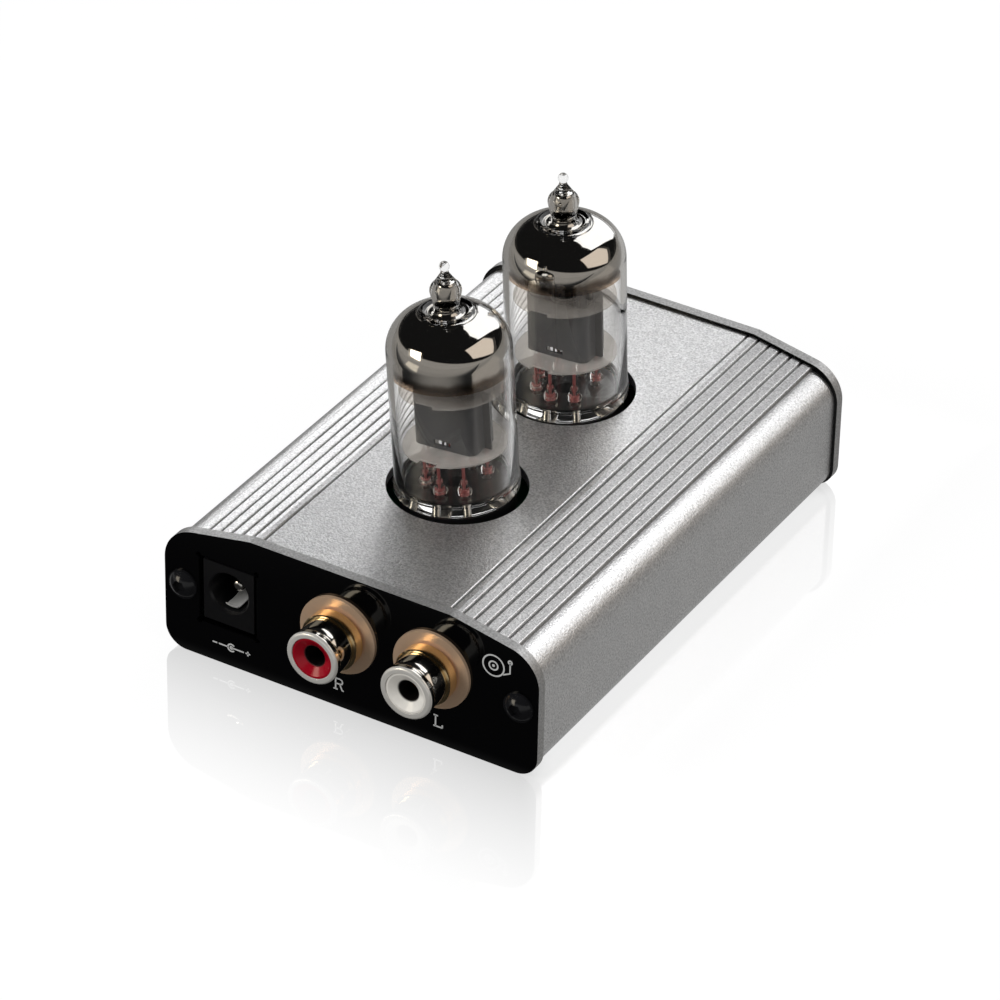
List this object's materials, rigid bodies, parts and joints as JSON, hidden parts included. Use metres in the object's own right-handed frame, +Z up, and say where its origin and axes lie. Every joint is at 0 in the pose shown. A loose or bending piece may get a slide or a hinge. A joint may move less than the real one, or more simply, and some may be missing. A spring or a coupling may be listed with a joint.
{
  "type": "phono preamplifier",
  "caption": "Desktop valve phono preamplifier: ribbed aluminium case, black end plates with coaxial jacks, glass valves standing through the lid.",
  "frame": {"origin": "bottom centre of the bounding box, on the plane that the end plates stand on", "axes": "+Z up; -Y out of the plate with the power inlet and the output jacks, +Y out of the input plate; +X to the right seen from the output side"},
  "size_m": [0.064, 0.1064, 0.0603],
  "materials": {
    "case_aluminium": "sandblasted, clear anodised",
    "plate_black": "high gloss black with bare silver edge",
    "screw_black": "black oxide, semi gloss",
    "nickel": "bright nickel plate",
    "gilt": "bright gold plate",
    "champagne": "satin pale gold plate",
    "red_insert": "semi gloss",
    "white_insert": "semi gloss",
    "fibre": "matte",
    "tinned": "tin plate",
    "black_moulding": "moulded, low gloss",
    "clear_glass": "clear",
    "getter_mirror": "silvery film",
    "mica": "translucent sheet",
    "anode_grey": "carbonised nickel, matte",
    "board_green": "solder mask",
    "can_sleeve": "shrink sleeve",
    "film_red": "potted box",
    "resistor_blue": "lacquer",
    "ferrite": "coated ring core"
  },
  "bodies": {
    "case": {"case": "case_aluminium", "choke": "ferrite", "circuit_board": "board_green", "converter_chip": "black_moulding", "electrolytic_capacitors": "can_sleeve", "film_capacitors": "film_red", "front_plate": "plate_black", "front_plate_screws": "screw_black", "ground_post_back_nut": "nickel", "ground_post_stud": "nickel", "input_left_jack_contact": "gilt", "input_left_jack_flange": "champagne", "input_left_jack_insert": "white_insert", "input_left_jack_shell": "nickel", "input_right_jack_contact": "gilt", "input_right_jack_flange": "champagne", "input_right_jack_insert": "red_insert", "input_right_jack_shell": "nickel", "jack_collars": "gilt", "jack_ground_lugs": "tinned", "jack_insulators": "fibre", "jack_leads": "tinned", "jack_nuts": "champagne", "output_left_jack_contact": "gilt", "output_left_jack_flange": "champagne", "output_left_jack_insert": "white_insert", "output_left_jack_shell": "nickel", "output_right_jack_contact": "gilt", "output_right_jack_flange": "champagne", "output_right_jack_insert": "red_insert", "output_right_jack_shell": "nickel", "power_inlet_body": "black_moulding", "power_inlet_pin": "nickel", "power_inlet_spring": "tinned", "power_switch_body": "black_moulding", "rear_plate": "plate_black", "rear_plate_screws": "screw_black", "resistors": "resistor_blue", "socket_1_body": "black_moulding", "socket_1_contacts": "tinned", "socket_2_body": "black_moulding", "socket_2_contacts": "tinned"},
    "valve_1": {"valve_1_anode": "anode_grey", "valve_1_electrodes": "tinned", "valve_1_glass": "clear_glass", "valve_1_micas": "mica", "valve_1_mirror": "getter_mirror", "valve_1_pins": "tinned"},
    "valve_2": {"valve_2_anode": "anode_grey", "valve_2_electrodes": "tinned", "valve_2_glass": "clear_glass", "valve_2_micas": "mica", "valve_2_mirror": "getter_mirror", "valve_2_pins": "tinned"},
    "power_button": {"power_button": "black_moulding"},
    "ground_washer": {"ground_post_washer": "nickel"},
    "ground_thumb_nut": {"ground_post_thumb_nut": "gilt"}
  },
  "joints": [
    {"name": "valve_1_pull", "type": "slide", "parent": "case", "child": "valve_1", "axis": [-0.0767, 0, 0.9971], "range_m": [0, 0.0085]},
    {"name": "valve_2_pull", "type": "slide", "parent": "case", "child": "valve_2", "axis": [-0.0454, 0, 0.999], "range_m": [0, 0.0085]},
    {"name": "power_button_push", "type": "slide", "parent": "case", "child": "power_button", "axis": [0, -1, 0], "range_m": [0, 0.0025], "stiffness_N_per_m": 300, "springref_m": -0.0005},
    {"name": "ground_washer_lift", "type": "slide", "parent": "case", "child": "ground_washer", "axis": [0, 1, 0], "range_m": [0, 0.0016]},
    {"name": "ground_nut_turn", "type": "hinge", "parent": "ground_washer", "child": "ground_thumb_nut", "pos_m": [0.00962, 0.0457, 0.01294], "axis": [0, 1, 0], "range_deg": [0, 824]}
  ],
  "couplings": [
    {"joint": "ground_nut_turn", "follows": "ground_washer_lift", "rad_per_m": 8976}
  ]
}
